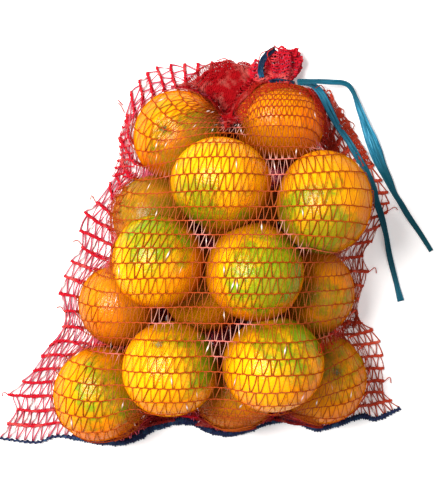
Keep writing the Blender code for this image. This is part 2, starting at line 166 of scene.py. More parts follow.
# Broken ends of thread: three points each.
LOOSE_THREADS = (
    ((-68.8, 121.5, 1.2), (-66.2, 118.6, 2), (-63.4, 113, 1.4)),
    ((-69.4, 124, 1), (-67.6, 122.4, 1.6), (-65, 119.6, 1.2)),
    ((14, 156.4, 2), (21, 158.2, 3.4), (26.5, 153.8, 2.6)),
    ((17, 155, 2), (23.5, 155.6, 4), (28, 149.6, 3)),
    ((20, 152, 2), (25, 154.8, 3), (30.5, 147.6, 2.4)),
    ((96, 132.6, 8), (101, 135.2, 7), (105.5, 130, 5)),
    ((104, 128, 5), (108.5, 131.5, 5.4), (110.6, 125.8, 4)),
    ((106, 131.5, 5), (109.8, 129, 5), (113.8, 119.2, 3)),
    ((116, 117.6, 3), (120.2, 114.8, 3.4), (119.8, 109.2, 2.4)),
    ((124, 106.4, 3), (129, 103, 3.2), (127.4, 98, 2)),
    ((58.2, 150.2, 24), (55.4, 158.4, 25), (60.6, 163.6, 22)),
    ((48, 152, 20), (50.6, 158.8, 22), (56, 161.6, 21)),
    ((157.6, 30.6, 2), (163, 33.8, 2.4), (166, 31.6, 1)),
    ((141.8, -20.2, 2), (146.6, -16.8, 2.4), (148, -21.6, 1)),
    ((153.8, -113, 1.6), (158.8, -108.6, 2.4), (160.2, -113.8, 1.2)),
    ((-161, -123.8, 1.6), (-164.6, -121, 2), (-166.2, -125, 1)),
    ((-113.4, -54.4, 1.6), (-116.8, -49.6, 2.2), (-120.4, -50.6, 1)),
    ((-98.8, 1.6, 1.6), (-102.6, 6, 2.2), (-106.8, 5, 1)),
    ((-87.4, 37.6, 1.6), (-90.6, 43.6, 2.2), (-92, 40.2, 1)),
)
NECK = (67, 132.6, 14)
NECK_HALF_WIDTH = 10
NECK_HALF_HEIGHT = 7
WRAP_TURNS, WRAP_START, WRAP_RISE = 2.6, 133.9, 3.6  # how often, from which y, how far up the neck
WRAP_HALF_WIDTH, WRAP_HALF_HEIGHT = 11, 8.2

# ---- drawstring
TAIL_A_ROUTE = (
    (80.6, 135.6, 22.6), (85.5, 136.2, 21.4), (91, 136.6, 19.6), (97.5, 136.8, 17.6), (104, 137, 15.6),
    (111, 137, 13.7), (118, 136.9, 12), (123.5, 135, 10.5), (127.5, 130, 9.3), (130.5, 123, 8.4),
    (133.5, 115, 7.6), (136.8, 107, 7.2), (142.5, 92, 7), (150.2, 72, 7), (157, 57.5, 7), (162.8, 45, 6.6),
    (168, 37, 5.8), (174.8, 26.2, 5), (184, 12.8, 4.6), (189.8, 3.8, 4.6), (194, -3, 4.6),
)
TAIL_B_ROUTE = (
    (81, 136.4, 13), (86.5, 136.8, 11.8), (92.5, 135.4, 10.4), (98.5, 131, 9.2), (103.6, 123.8, 8.6),
    (107.9, 115, 8), (112.7, 105.9, 7.2), (117.6, 98, 6.5), (123.3, 90.2, 6.1), (131, 77.6, 6),
    (138.2, 64.4, 6), (144.8, 50.2, 6), (147.4, 39.4, 6), (151.5, 27, 6), (155, 13.6, 5.4),
    (159.2, -8, 4.2), (164.2, -28, 4), (168.5, -45, 4),
)
TAIL_A_WIDTH, TAIL_B_WIDTH = 8, 7
LOOP_ROUTE = ((62, 163.6, 19.4), (58, 160.5, 22.2), (53, 155, 24.6), (49.8, 147, 23.4), (51, 139.5, 20.4))


# ---- curves and meshes
def curve_through(points, steps):
    """The Catmull-Rom curve through the given points, with steps points from each to the next."""
    knots = np.array(points, float)
    ends = np.vstack([2 * knots[0] - knots[1], knots, 2 * knots[-1] - knots[-2]])
    t = np.linspace(0.0, 1.0, steps, endpoint=False)[:, None]
    spans = [
        0.5 * (2 * b + (c - a) * t + (2 * a - 5 * b + 4 * c - d) * t**2 + (3 * b - a - 3 * c + d) * t**3)
        for a, b, c, d in zip(ends, ends[1:], ends[2:], ends[3:])
    ]
    return np.vstack([*spans, knots[-1:]])


def smooth_curve(points, count):
    """count points, evenly spaced, along the curve through the given points."""
    return spaced(curve_through(points, 24), count)


def distances(line):
    """How far along a line of points each of them lies."""
    return np.concatenate([[0.0], np.cumsum(np.linalg.norm(np.diff(line, axis=0), axis=1))])


def points_at(line, run, wanted):
    """The line's points at the wanted distances, where run holds its own."""
    return np.stack([np.interp(wanted, run, line[:, k]) for k in range(line.shape[1])], axis=1)


def spaced(line, count):
    """count points at even distances along a line of points."""
    run = distances(line)
    return points_at(line, run, np.linspace(0.0, run[-1], count))


def beside(line, distance):
    """A line in plan, moved sideways by a distance."""
    along = unit(np.gradient(line, axis=0))
    return line + np.stack([-along[:, 1], along[:, 0]], axis=1) * distance


def unit(v):
    """The same directions, one long."""
    return v / np.maximum(np.linalg.norm(v, axis=-1, keepdims=True), 1e-9)


def linked(name, data):
    """A new object of the scene."""
    made = bpy.data.objects.new(name, data)
    bpy.context.scene.collection.objects.link(made)
    return made


def add_mesh(name, points, quads, finish, numbers=None, smooth=True, tris=None, replaced="net_bag"):
    """A mesh object from arrays of points in millimetres and of faces, with point attributes."""
    faces = [np.asarray(f) for f in (quads, tris) if f is not None and len(f)]
    mesh = bpy.data.meshes.new(name)
    mesh.vertices.add(len(points))
    mesh.vertices.foreach_set("co", (np.asarray(points) * MM).astype(np.float32).ravel())
    corners = np.concatenate([f.ravel() for f in faces]).astype(np.int32)
    sizes = np.concatenate([np.full(len(f), f.shape[1]) for f in faces])
    starts = np.concatenate([[0], np.cumsum(sizes)[:-1]]).astype(np.int32)
    mesh.loops.add(len(corners))
    mesh.loops.foreach_set("vertex_index", corners)
    mesh.polygons.add(len(sizes))
    mesh.polygons.foreach_set("loop_start", starts)
    mesh.update(calc_edges=True)
    for key, values in (numbers or {}).items():
        layer = mesh.attributes.new(key, "FLOAT", "POINT")
        layer.data.foreach_set("value", np.asarray(values, np.float32).ravel())
    if smooth:
        mesh.shade_smooth()
    mesh.materials.append(finish)
    made = linked(name, mesh)
    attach(made, "root")
    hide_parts(replaced)
    return made


def ring_quads(ids):
    """Quads that join neighbouring rings of points; ids[..., ring, place] are the points' numbers."""
    after = np.roll(ids, -1, axis=-1)
    corners = [ids[..., :-1, :], ids[..., 1:, :], after[..., 1:, :], after[..., :-1, :]]
    return np.stack(corners, axis=-1).reshape(-1, 4)


def end_tris(ids, tips):
    """Triangles from the first and the last ring to the tip at that end; tips[..., end] are numbers."""
    after = np.roll(ids, -1, axis=-1)
    tips = np.broadcast_to(np.asarray(tips)[..., None], (*ids.shape[:-2], 2, ids.shape[-1]))
    first = np.stack([ids[..., 0, :], after[..., 0, :], tips[..., 0, :]], axis=-1)
    last = np.stack([after[..., -1, :], ids[..., -1, :], tips[..., 1, :]], axis=-1)
    return np.concatenate([first.reshape(-1, 3), last.reshape(-1, 3)])


def swept(paths, ups, half_width, half_height, sides=4, lowest=LOWEST):
    """Points, quads and triangles of closed tubes along many paths at once.

    paths is (path, step, 3) and ups the same or one direction. At each step an oval of the given half
    width, across the path, and half height, along up, is drawn with sides points, none of them under
    the lowest height, and neighbouring ovals are joined by quads. Four points at an end are one more
    quad; a rounder end is closed by triangles to its middle.
    """
    along = unit(np.gradient(paths, axis=1))
    across = unit(np.cross(along, ups))
    ups = np.cross(across, along)
    angle = 2 * np.pi * np.arange(sides) / sides
    half_width = np.broadcast_to(half_width, paths.shape[:2])[..., None, None]
    half_height = np.broadcast_to(half_height, paths.shape[:2])[..., None, None]
    ring = (
        paths[:, :, None]
        + across[:, :, None] * (np.cos(angle)[:, None] * half_width)
        + ups[:, :, None] * (np.sin(angle)[:, None] * half_height)
    )
    ring[..., 2] = np.maximum(ring[..., 2], lowest)
    count, steps = paths.shape[:2]
    ids = np.arange(count * steps * sides).reshape(count, steps, sides)
    if sides == 4:
        return ring.reshape(-1, 3), np.concatenate([ring_quads(ids), ids[:, 0], ids[:, -1, ::-1]]), None
    tips = ids.size + np.arange(2 * count).reshape(count, 2)
    tip_points = np.stack([ring[:, 0].mean(1), ring[:, -1].mean(1)], axis=1).reshape(-1, 3)
    return np.concatenate([ring.reshape(-1, 3), tip_points]), ring_quads(ids), end_tris(ids, tips)


# ---- materials
def new_material(name):
    """A material, its node tree and its shader."""
    made = bpy.data.materials.new(name)
    made.use_nodes = True
    return made, made.node_tree, made.node_tree.nodes["Principled BSDF"]


def feed(socket, value):
    """Links a socket to the output that is given, or sets it to a number, colour or vector."""
    if isinstance(value, bpy.types.NodeSocket):
        socket.id_data.links.new(value, socket)
    else:
        socket.default_value = (*value, 1.0) if socket.type == "RGBA" else value


def feed_all(made, values):
    """Feeds a node's sockets by their names."""
    for key, value in values.items():
        feed(made.inputs[key], value)
    return made


def node(tree, kind, values=None, **settings):
    """A new node with its settings, and values for its sockets."""
    made = tree.nodes.new(kind)
    for key, value in settings.items():
        setattr(made, key, value)
    return feed_all(made, values or {})


def attribute(tree, name):
    """The number that a mesh holds for each point under this name."""
    return node(tree, "ShaderNodeAttribute", attribute_name=name).outputs["Fac"]


def object_place(tree):
    """Where a point lies in its piece, in metres."""
    return node(tree, "ShaderNodeTexCoord").outputs["Object"]


def mix(share, a, b, blend_type="MIX"):
    """Two colours, each a tuple or a socket, mixed by a socket."""
    made = node(share.id_data, "ShaderNodeMix", data_type="RGBA", blend_type=blend_type)
    for place, value in ((0, share), (6, a), (7, b)):
        feed(made.inputs[place], value)
    return made.outputs[2]


def maths(operation, a, b=0.0, clamp=False):
    """One step of arithmetic on two values, of which one at least is a socket."""
    tree = next(value for value in (a, b) if isinstance(value, bpy.types.NodeSocket)).id_data
    made = node(tree, "ShaderNodeMath", operation=operation, use_clamp=clamp)
    feed(made.inputs[0], a)
    feed(made.inputs[1], b)
    return made.outputs[0]


def times(a, b):
    return maths("MULTIPLY", a, b)


def swing(value, reach):
    """A value from 0 to 1 as one that swings about 0, reach times as far."""
    return times(maths("SUBTRACT", value, 0.5), reach)


def ramp(value, low, high, at_low=0.0, at_high=1.0):
    """at_low below low, at_high above high, straight between."""
    ends = {"Value": value, "From Min": low, "From Max": high, "To Min": at_low, "To Max": at_high}
    return node(value.id_data, "ShaderNodeMapRange", ends, clamp=True).outputs["Result"]


def noise(where, scale, detail, roughness):
    """Cloudy numbers about a half, in the place that the socket gives."""
    values = {"Vector": where, "Scale": scale, "Detail": detail, "Roughness": roughness}
    return node(where.id_data, "ShaderNodeTexNoise", values).outputs["Fac"]


def bump(shader, height, distance, strength):
    """Dents and swells of the surface by a height from 0 to 1, distance metres at most."""
    values = {"Height": height, "Distance": distance, "Strength": strength}
    feed(shader.inputs["Normal"], node(height.id_data, "ShaderNodeBump", values).outputs["Normal"])


def peel_material():
    """Dimpled waxy peel: yellow to orange by warmth, green by its own share, darker at the stem; painted
    shade darkens it where neighbouring fruit crowd it, towards its limb, and on fruit lying in shadow.
    """
    made, tree, shader = new_material("orange_peel")
    where = object_place(tree)
    mottle = noise(where, 38.0, 4.0, 0.6)
    blotch = noise(where, 115.0, 4.0, 0.65)
    fine = noise(where, 420.0, 2.0, 0.5)
    warm = maths("ADD", attribute(tree, "warm"), swing(mottle, 0.9), True)
    colour = mix(warm, (0.98, 0.47, 0.003), (0.92, 0.19, 0.0))
    own_green = attribute(tree, "green")
    green = maths("ADD", maths("ADD", own_green, swing(blotch, 1.9)), swing(fine, 0.7), True)
    lime = mix(ramp(mottle, 0.38, 0.62), (0.20, 0.34, 0.006), (0.30, 0.27, 0.005))
    colour = mix(times(ramp(green, 0.22, 1.0), ramp(own_green, 0.0, 0.25)), colour, lime)
    # Painted shade: fruit lying in shadow, and every limb, are drawn a darker brown.
    colour = mix(attribute(tree, "painted_shadow"), colour, (0.34, 0.125, 0.008))
    colour = mix(ramp(fine, 0.35, 0.75), colour, (1.0, 0.88, 0.72), "MULTIPLY")
    colour = mix(attribute(tree, "stem"), colour, (0.09, 0.085, 0.008))
    # Painted shade: darker where neighbouring fruit crowd the peel and towards the limb.
    colour = mix(times(attribute(tree, "shade"), 0.60), colour, (0.16, 0.075, 0.02), "MULTIPLY")
    pores = node(tree, "ShaderNodeTexVoronoi", {"Vector": where, "Scale": 560.0, "Randomness": 0.9})
    dimple = ramp(pores.outputs["Distance"], 0.0, 0.55)
    bump(shader, maths("ADD", dimple, times(fine, 0.6)), 0.0006, 0.38)
    feed_all(shader, {
        "Base Color": colour, "Roughness": ramp(blotch, 0.0, 1.0, 0.13, 0.30),
        "Specular IOR Level": ramp(attribute(tree, "rim"), 0.0, 1.0, 0.17, 0.0),
        "Subsurface Weight": 0.05, "Subsurface Radius": (1.0, 0.3, 0.03), "Subsurface Scale": 0.003,
    })
    return made


def net_material(name, flap, brown, free, over_fruit_colour):
    """Knitted thread: crimson in the flaps, browner and lighter to the right as painted light against the
    shade on that side, pale where it hangs across a gap high in the bag, orange-brown where the fruit
    shines through it."""
    made, tree, shader = new_material(name)
    where = object_place(tree)
    place = node(tree, "ShaderNodeSeparateXYZ", {"Vector": where}).outputs
    # Painted light: browner and lighter towards the right, lifting the shade on the bag's right side.
    colour = mix(ramp(place["X"], 0.085, 0.125), flap, brown)
    colour = mix(ramp(place["Z"], 0.055, 0.090), colour, free)
    colour = mix(attribute(tree, "over_fruit"), colour, over_fruit_colour)
    streak = noise(where, 900.0, 2.0, 0.6)
    patch = noise(where, 90.0, 3.0, 0.6)
    colour = mix(ramp(streak, 0.3, 0.8), colour, (1.0, 0.72, 0.62), "MULTIPLY")
    loose = maths("SUBTRACT", 1.0, attribute(tree, "over_fruit"), True)
    colour = mix(times(times(ramp(patch, 0.52, 0.75), 0.3), loose), colour, (0.90, 0.38, 0.30))
    # Painted highlight: white glints on the legs that are marked bright.
    colour = mix(attribute(tree, "bright"), colour, (1.0, 0.88, 0.82))
    bump(shader, streak, 0.0002, 0.7)
    feed_all(shader, {"Base Color": colour, "Roughness": 0.42, "Specular IOR Level": 0.0})
    return made


def hem_material():
    """Overlock thread: near-black navy with bluer worn spots."""
    made, tree, shader = new_material("hem_thread_navy")
    where = object_place(tree)
    streak = noise(where, 700.0, 3.0, 0.6)
    colour = mix(ramp(streak, 0.35, 0.75), (0.003, 0.004, 0.016), (0.014, 0.030, 0.13))
    worn = times(ramp(noise(where, 150.0, 3.0, 0.6), 0.50, 0.68), 0.7)
    colour = mix(worn, colour, (0.028, 0.090, 0.19))
    bump(shader, streak, 0.0003, 0.8)
    feed_all(shader, {"Base Color": colour, "Roughness": 0.6, "Specular IOR Level": 0.2})
    return made


def tape_material(name, folded, lit_colour, highlight_colour):
    """Flat drawn tape with painted light and shade: the lit colour where it lies open, the darker one where
    it is folded and along its crease, with light streaks of painted highlight and dark ones of painted
    shade.
    """
    made, tree, shader = new_material(name)
    uv = node(tree, "ShaderNodeUVMap", uv_map="tape").outputs["UV"]
    drawn_out = node(tree, "ShaderNodeMapping", {"Vector": uv, "Scale": (9.0, 2.2, 1.0)}).outputs["Vector"]
    streak = noise(drawn_out, 3.0, 4.0, 0.6)
    across = node(tree, "ShaderNodeSeparateXYZ", {"Vector": uv}).outputs["X"]
    wide = attribute(tree, "open")
    # Painted light and shade: lit colour where open and folded colour where folded, light streaks as
    # painted highlights, and dark streaks plus a darker crease as painted shade.
    colour = mix(wide, folded, lit_colour)
    colour = mix(times(times(ramp(streak, 0.46, 0.66), 0.85), wide), colour, highlight_colour)
    colour = mix(times(ramp(streak, 0.52, 0.32), 0.8), colour, folded)
    off_crease = maths("ABSOLUTE", maths("SUBTRACT", across, 0.36))
    colour = mix(times(ramp(off_crease, 0.16, 0.02), 0.6), colour, folded)
    bump(shader, streak, 0.0005, 0.8)
    feed_all(shader, {"Base Color": colour, "Roughness": 0.30, "Specular IOR Level": 0.12})
    return made


def stem_material():
    """Dry fibre between brown and straw, in fine grain."""
    made, tree, shader = new_material("stem_star_dry")
    grain = noise(object_place(tree), 800.0, 3.0, 0.6)
    bump(shader, grain, 0.0004, 0.8)
    colour = mix(ramp(grain, 0.3, 0.7), (0.10, 0.085, 0.02), (0.30, 0.26, 0.09))
    feed_all(shader, {"Base Color": colour, "Roughness": 0.8})
    return made


# ---- camera, light, floor
def make_view():
    """A camera straight above the lying bag."""
    data = bpy.data.cameras.new("view")
    camera = linked("view", data)
    camera.location = [c * MM for c in EYE]
    data.sensor_fit = "VERTICAL"
    data.sensor_height = SENSOR
    data.lens = SENSOR * EYE[2] / VIEW_HEIGHT
    data.clip_start, data.clip_end = 0.05, 20.0
    bpy.context.scene.camera = camera


def area_light(name, place, size, power, color):
    """A round soft light that faces the middle of the bag."""
    data = bpy.data.lights.new(name, "AREA")
    data.shape, data.size, data.energy, data.color = "DISK", size, power, color
    made = linked(name, data)
    made.location = place
    made.rotation_euler = (Vector(LIGHT_AIM) - Vector(place)).to_track_quat("-Z", "Y").to_euler()


def make_light():
    """A bright key light from the upper left, a wide weak fill from the lower right, a white studio."""
    area_light("key", (-0.56, 0.24, 1.12), 0.66, 30.0, (1.0, 0.98, 0.95))
    area_light("fill", (0.95, -0.45, 1.1), 1.2, 4.2, (0.97, 0.98, 1.0))
    world = bpy.data.worlds.new("studio")
    world.use_nodes = True
    feed_all(world.node_tree.nodes["Background"], {"Color": (1.0, 1.0, 1.0), "Strength": 0.31})
    bpy.context.scene.world = world
    bpy.context.scene.view_settings.view_transform = "Standard"


def make_floor():
    """One pale square, a little under the bag, that glows faintly: painted light that lifts the bag's
    shadow on it.
    """
    made, _, shader = new_material("pale_floor")
    # Painted light: the floor's glow lightens the shadow that the bag casts.
    feed_all(shader, {"Base Color": (0.93, 0.93, 0.93), "Roughness": 0.8, "Emission Color": (1.0, 1.0, 1.0),
                      "Emission Strength": 0.25})
    mesh = bpy.data.meshes.new("floor")
    corners = ((-1, -1), (1, -1), (1, 1), (-1, 1))
    mesh.from_pydata([(x * FLOOR_HALF, y * FLOOR_HALF, FLOOR_TOP) for x, y in corners], [], [(0, 1, 2, 3)])
    mesh.materials.append(made)
    linked("floor", mesh)


# ---- drawstring
def add_tape(name, points, quads, finish, painted_lit_share, replaced, corners):
    """A piece of tape, with the UV map that its pattern follows: one pair for each face corner."""
    made = add_mesh(name, points, quads, finish, {"open": painted_lit_share}, replaced=replaced)
    layer = made.data.uv_layers.new(name="tape")
    layer.data.foreach_set("uv", corners.astype(np.float32).ravel())
    return made


def tape(name, replaced, route, width, openness, drop, finish, count=120):
    """Flat tape creased along its middle, carried along a route; returns it and its centre line.

    The cross-section at each step is a shallow V of two thin leaves: its half width, the depth of its
    crease and its tilt are smooth functions of the distance along the tape.
    """
    line = smooth_curve(route, count)
    run = np.linspace(0.0, 1.0, count)
    line[:, 2] -= np.interp(run, *zip(*drop))
    half = np.interp(run, *zip(*width)) / 2
    # the share of painted light along the tape; it sets only the colour
    wide = np.interp(run, *zip(*openness))
    along = unit(np.gradient(line, axis=0))
    tilt = 0.35 * np.sin(2 * np.pi * (run * 1.7 + 0.1)) + 0.2 * np.sin(2 * np.pi * run * 4.3)
    across = unit(np.cross(along, UP))
    up = np.cross(across, along)
    side = across * np.cos(tilt)[:, None] + up * np.sin(tilt)[:, None]
    lift = np.cross(side, along)
    shares = np.array([-1.0, -0.62, -0.2, 0.0, 0.25, 0.66, 1.0])
    crease = 0.20 + 0.12 * np.sin(2 * np.pi * run * 3.1)
    height = half[:, None] * crease[:, None] * (np.abs(shares)[None] - 0.45)
    ripple = 0.10 * half[:, None] * np.sin(9.0 * run[:, None] * 2 * np.pi + 4 * shares[None])
    top = (
        line[:, None] + side[:, None] * (half[:, None] * shares[None])[..., None]
        + lift[:, None] * (height + 0.5 * ripple)[..., None]
    )
    under = top - lift[:, None] * 0.32
    ring = np.concatenate([top, under[:, ::-1]], axis=1)
    ring[..., 2] = np.maximum(ring[..., 2], 0.25)
    around = ring.shape[1]
    ids = np.arange(count * around).reshape(count, around)
    ends = []
    for k, step in ((0, -1), (count - 1, 1)):
        for j in range(len(shares) - 1):
            ends.append(ids[k, [j, j + 1, around - 2 - j, around - 1 - j]][::step])
    quads = np.concatenate([ring_quads(ids)[:, FLIPPED], ends])
    across_uv = np.tile(np.concatenate([shares, shares[::-1]]) * 0.5 + 0.5, count)
    pattern = np.stack([across_uv, np.repeat(run * 2.0, around)], axis=1)
    made = add_tape(name, ring.reshape(-1, 3), quads, finish, np.repeat(wide, around), replaced,
                    pattern[quads])
    return made, ring.mean(axis=1) * MM


def tail(name, replaced, route, diameter, **form):
    """One loose end of the drawstring, lying free to its bare end."""
    made, centres = tape(name, replaced, route, **form)


def make_loop(finish):
    """The end of tape that lies over the tuft, in the darker copy of the teal tape as painted shade; its
    painted light grows towards its far end.
    """
    tape("neck_loop", "drawstring_loop", LOOP_ROUTE,
         width=((0.0, 4.4), (0.5, 5.2), (1.0, 4.4)), openness=((0.0, 0.02), (0.6, 0.12), (1.0, 0.9)),
         drop=((0.0, 0.3), (1.0, 0.3)), finish=finish, count=30)


def make_tails(finish):
    """Both loose tails, each wide over a part of its upper half and painted lit there, folded narrow below
    it and painted dark as in shade.
    """
    tail("tape_tail_a", "drawstring_tail_a", TAIL_A_ROUTE, TAIL_A_WIDTH,
         width=((0.0, 5.2), (0.2, 4.4), (0.27, 3.8), (0.36, 6.2), (0.46, 10.0), (0.53, 11.5), (0.62, 8.0),
                (0.7, 5.8), (0.85, 4.8), (1.0, 3.8)),
         openness=((0.0, 0.15), (0.15, 0.40), (0.27, 0.2), (0.34, 0.85), (0.46, 1.0), (0.54, 0.45),
                   (0.62, 0.08), (1.0, 0.0)),
         drop=((0.0, 1.0), (0.3, 2.0), (0.5, 3.0), (1.0, 3.2)), finish=finish)
    tail("tape_tail_b", "drawstring_tail_b", TAIL_B_ROUTE, TAIL_B_WIDTH,
         width=((0.0, 5.0), (0.08, 6.8), (0.16, 6.8), (0.3, 4.8), (0.45, 6.5), (0.7, 5.4), (0.94, 4.4),
                (1.0, 5.8)),
         openness=((0.0, 0.5), (0.08, 1.0), (0.3, 0.9), (0.4, 0.35), (0.5, 0.1), (0.85, 0.05), (1.0, 0.3)),
         drop=((0.0, 1.0), (0.3, 2.0), (0.6, 2.6), (1.0, 2.8)), finish=finish)


# ---- fruit
def ball(rings, around):
    """Unit directions of a ball's points, its quads and its pole triangles."""
    theta = np.pi * np.arange(1, rings) / rings
    phi = 2 * np.pi * np.arange(around) / around
    t, p = np.meshgrid(theta, phi, indexing="ij")
    body = np.stack([np.sin(t) * np.cos(p), np.sin(t) * np.sin(p), np.cos(t)], axis=-1).reshape(-1, 3)
    ids = np.arange(len(body)).reshape(rings - 1, around)
    poles = [[0.0, 0.0, 1.0], [0.0, 0.0, -1.0]]
    return np.concatenate([body, poles]), ring_quads(ids), end_tris(ids, (len(body), len(body) + 1))


def turned_to(axis):
    """A rotation matrix whose third column is the axis."""
    axis = unit(np.array(axis, float))
    side = unit(np.cross((0.3, 0.9, 0.2), axis))
    return np.stack([side, np.cross(axis, side), axis], axis=1)


def peel_reach(local, fruit):
    """How far the peel lies from the middle of an orange, in directions about its own stem's axis.

    The radius shrinks towards the axis by the flatness, dips at the stem and less at the far end, and
    swells and sinks by a few slow waves.
    """
    polar = np.arccos(np.clip(local[..., 2], -1.0, 1.0))
    turn = np.arctan2(local[..., 1], local[..., 0])
    size = 1 + fruit["flatness"] * (0.35 - local[..., 2] ** 2)
    size = size - 0.055 * np.exp(-((polar / 0.20) ** 2)) * (1 + 0.25 * np.cos(5 * turn))
    size = size - 0.030 * np.exp(-(((np.pi - polar) / 0.16) ** 2))
    for (a, b, c), phase in zip(((2.7, 1.7, 0.9), (-1.6, 3.1, 2.5), (3.8, -2.6, 2.0)), fruit["phase"]):
        size = size + 0.006 * np.sin(local @ np.array([a, b, c]) + phase)
    return size * fruit["radius"]


def peel_points(directions, fruit):
    """The points of an orange's peel about its middle, stem and all turned as it lies."""
    return (directions * peel_reach(directions, fruit)[:, None]) @ fruit["axes"].T


def settled():
    """Every orange as a dictionary: the lower ones lie on the surface, the others on them."""
    fruits = []
    lower = len(LOWER_ORANGES)
    directions = ball(24, 32)[0]
    for x, y, r, flatness, warmth, shadow_share, green, green_side, stem in LOWER_ORANGES + UPPER_ORANGES:
        height = r
        for under in fruits[:lower] if len(fruits) >= lower else ():
            bx, by, bz = under["middle"]
            away = math.hypot(x - bx, y - by)
            if away < r + under["radius"]:
                height = max(height, bz + math.sqrt((r + under["radius"]) ** 2 - away**2))
        fruit = {
            "radius": r, "flatness": flatness, "phase": rng.uniform(0, 6.28, 3), "warmth": warmth,
            "shadow_share": shadow_share, "green": green, "green_side": unit(np.array(green_side, float)),
            "axes": turned_to(stem),
        }
        lowest = peel_points(directions, fruit)[:, 2].min()
        fruit["middle"] = np.array([x, y, max(height, FRUIT_LIFT - lowest)])
        fruits.append(fruit)
    return fruits


def crowded(points, outward, fruits, own):
    """How much of what a patch of peel faces is taken up by the neighbouring fruit, 0 to 1."""
    taken = np.zeros(len(points))
    for fruit in fruits:
        if fruit is not own:
            toward = fruit["middle"] - points
            away = np.linalg.norm(toward, axis=1)
            facing = np.clip((toward * outward).sum(axis=1) / away + 0.3, 0.0, 1.0)
            taken += facing * (fruit["radius"] / np.maximum(away, fruit["radius"])) ** 2
    return np.clip(taken - 0.36, 0.0, 0.75)


def add_bodies(name, bodies, quads, tris, finish, numbers=None):
    """Separate closed bodies with the same faces, each numbered on from the last, as one piece."""
    first = np.arange(len(bodies))[:, None, None] * len(bodies[0])
    quads, tris = (quads + first).reshape(-1, 4), (tris + first).reshape(-1, 3)
    return add_mesh(name, np.concatenate(bodies), quads, finish, numbers, tris=tris)


def make_oranges(name, fruits, every, finish):
    """All oranges of one layer as one piece."""
    directions, quads, tris = ball(44, 72)
    polar = np.arccos(np.clip(directions[:, 2], -1.0, 1.0))
    bodies, looks = [], []
    for fruit in fruits:
        shape = peel_points(directions, fruit)
        bodies.append(shape + fruit["middle"])
        outward = unit(shape)
        facing = outward @ fruit["green_side"]
        limb = 1 - np.clip(outward[:, 2], 0.0, 1.0)
        waves = 0.20 * np.sin(shape @ rng.normal(0, 0.10, 3) + 1.0)
        waves = waves + 0.12 * np.sin(shape @ rng.normal(0, 0.22, 3))
        # Painted light and shade: the peel is drawn deeper orange towards its limb and on its +x and -y
        # sides, and yellower on its +y side.
        warmth_as_shade = 0.50 * (limb - 0.3) - 0.20 * outward[:, 1] + 0.16 * outward[:, 0]
        looks.append({
            "warm": np.clip(fruit["warmth"] + warmth_as_shade + waves * 0.5, 0, 1),
            "green": fruit["green"] * np.clip((facing + waves - 0.25) / 0.65, 0, 1),
            "stem": np.clip(1 - polar / 0.13, 0, 1) * 0.8,
            # painted shade: the fruit's own share of shadow, more towards its limb
            "painted_shadow": np.clip(fruit["shadow_share"] + 0.35 * (limb - 0.45), 0, 1),
            "rim": np.clip(limb / 0.6, 0, 1),
            # painted shade: where other fruit take up what the peel faces, and towards the limb
            "shade": crowded(bodies[-1], outward, every, fruit) + 0.42 * limb**2,
        })
    numbers = {key: np.concatenate([look[key] for look in looks]) for key in looks[0]}
    add_bodies(name, bodies, quads, tris, finish, numbers)


def make_stem_stars(fruits, finish):
    """The dry five-lobed star that the stalk leaves on each orange, as a small domed closed cap."""
    rings, around = 5, 20
    radius = np.linspace(1.0, 0.12, rings)[:, None]
    turn = (2 * np.pi * np.arange(around) / around)[None]
    across = 2.7 * radius * (1 + 0.30 * np.cos(5 * turn) * radius)
    rise = 1 - radius**2 + 0 * turn
    cap = np.stack([across * np.cos(turn), across * np.sin(turn), rise], axis=-1)
    under = cap[0] * (0.9, 0.9, 1.0) - (0.0, 0.0, 1.6)
    body = np.concatenate([under[None], cap])
    ids = np.arange((rings + 1) * around).reshape(rings + 1, around)
    local = np.concatenate([body.reshape(-1, 3), [[0, 0, -1.6], [0, 0, 1.2]]])
    quads = ring_quads(ids)[:, FLIPPED]
    tris = end_tris(ids, (ids.size, ids.size + 1))[:, [1, 0, 2]]
    bodies = []
    for fruit in fruits:
        depth = peel_reach(UP[None], fruit)[0] + 0.2
        bodies.append((local + (0.0, 0.0, depth)) @ fruit["axes"].T + fruit["middle"])
    add_bodies("stem_stars", bodies, quads, tris, finish)


# ---- the net's sheets
def side_folds(fine):
    """The folds along both sides of the bag: the rows' ends with fine - 1 points between two of them."""
    return curve_through(LEFT_ENDS, fine), curve_through(RIGHT_ENDS, fine)


def neck_arc(count, sign):
    """Half of the neck's oval: over the top for sign 1, beneath for sign -1."""
    angle = np.pi * (1 - np.linspace(0.0, 1.0, count))
    return np.stack([
        NECK[0] + NECK_HALF_WIDTH * np.cos(angle), np.full(count, NECK[1]),
        NECK[2] + sign * NECK_HALF_HEIGHT * np.sin(angle),
    ], axis=1)


def held_edges(points, fine_rows, sign):
    """Puts the hem, the two side folds and the neck of one sheet in their places."""
    left, right = side_folds(fine_rows)
    points[:, 0, :2], points[:, -1, :2] = left, right
    points[:, 0, 2], points[:, -1, 2] = 1.0, 1.0
    points[0, :, :2] = beside(smooth_curve(HEM_LINE, points.shape[1]), HEM_SET_BACK)
    points[0, :, 2] = 1.2 if sign > 0 else 0.7
    points[-1] = neck_arc(points.shape[1], sign)
    return points


def inside_outline(x, y, outline):
    """True where a grid point lies inside the closed outline, by counting edge crossings."""
    crossings = np.zeros(x.shape, int)
    for (ax, ay), (bx, by) in zip(outline, np.roll(outline, -1, axis=0)):
        if ay == by:
            continue
        spans = (ay <= y) != (by <= y)
        at = ax + (y - ay) * (bx - ax) / (by - ay)
        crossings += spans & (at > x)
    return crossings % 2 == 1


